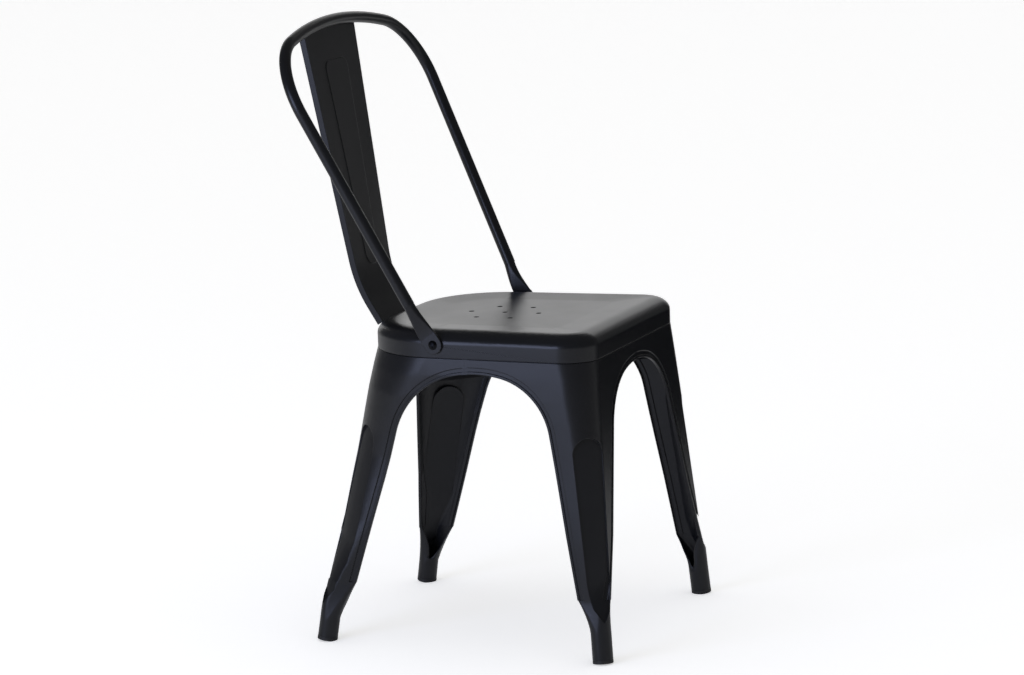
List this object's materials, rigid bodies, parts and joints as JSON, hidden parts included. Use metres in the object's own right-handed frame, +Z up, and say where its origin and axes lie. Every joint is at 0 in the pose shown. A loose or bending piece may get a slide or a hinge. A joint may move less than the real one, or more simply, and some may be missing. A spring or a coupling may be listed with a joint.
{
  "type": "metal bistro chair",
  "caption": "Armless sheet-steel bistro chair with a dished square seat, fluted splayed legs under arched aprons, a bent tube hoop and a pressed back splat.",
  "frame": {"origin": "middle of the chair's bounding box, at floor level", "axes": "+Z up, the sitter faces -Y, +X is the sitter's left hand"},
  "size_m": [0.466, 0.4758, 0.8495],
  "materials": {
    "black_powder_coat": "satin black powder coat on pressed steel sheet and tube",
    "glide_plastic": "moulded black plastic",
    "black_zinc_steel": "black zinc-plated steel",
    "zinc_plated_steel": "bright zinc-plated steel"
  },
  "bodies": {
    "root": {"seat_pan": "black_powder_coat", "front_right_leg": "black_powder_coat", "front_left_leg": "black_powder_coat", "rear_right_leg": "black_powder_coat", "rear_left_leg": "black_powder_coat", "back_hoop": "black_powder_coat", "back_splat": "black_powder_coat", "cross_brace_right_front": "black_powder_coat", "cross_brace_left_front": "black_powder_coat", "front_right_glide": "glide_plastic", "front_left_glide": "glide_plastic", "rear_right_glide": "glide_plastic", "rear_left_glide": "glide_plastic", "hoop_screw_right": "black_zinc_steel", "hoop_screw_left": "black_zinc_steel", "hoop_washer_right": "zinc_plated_steel", "hoop_washer_left": "zinc_plated_steel", "hoop_nut_right": "zinc_plated_steel", "hoop_nut_left": "zinc_plated_steel"}
  },
  "joints": []
}
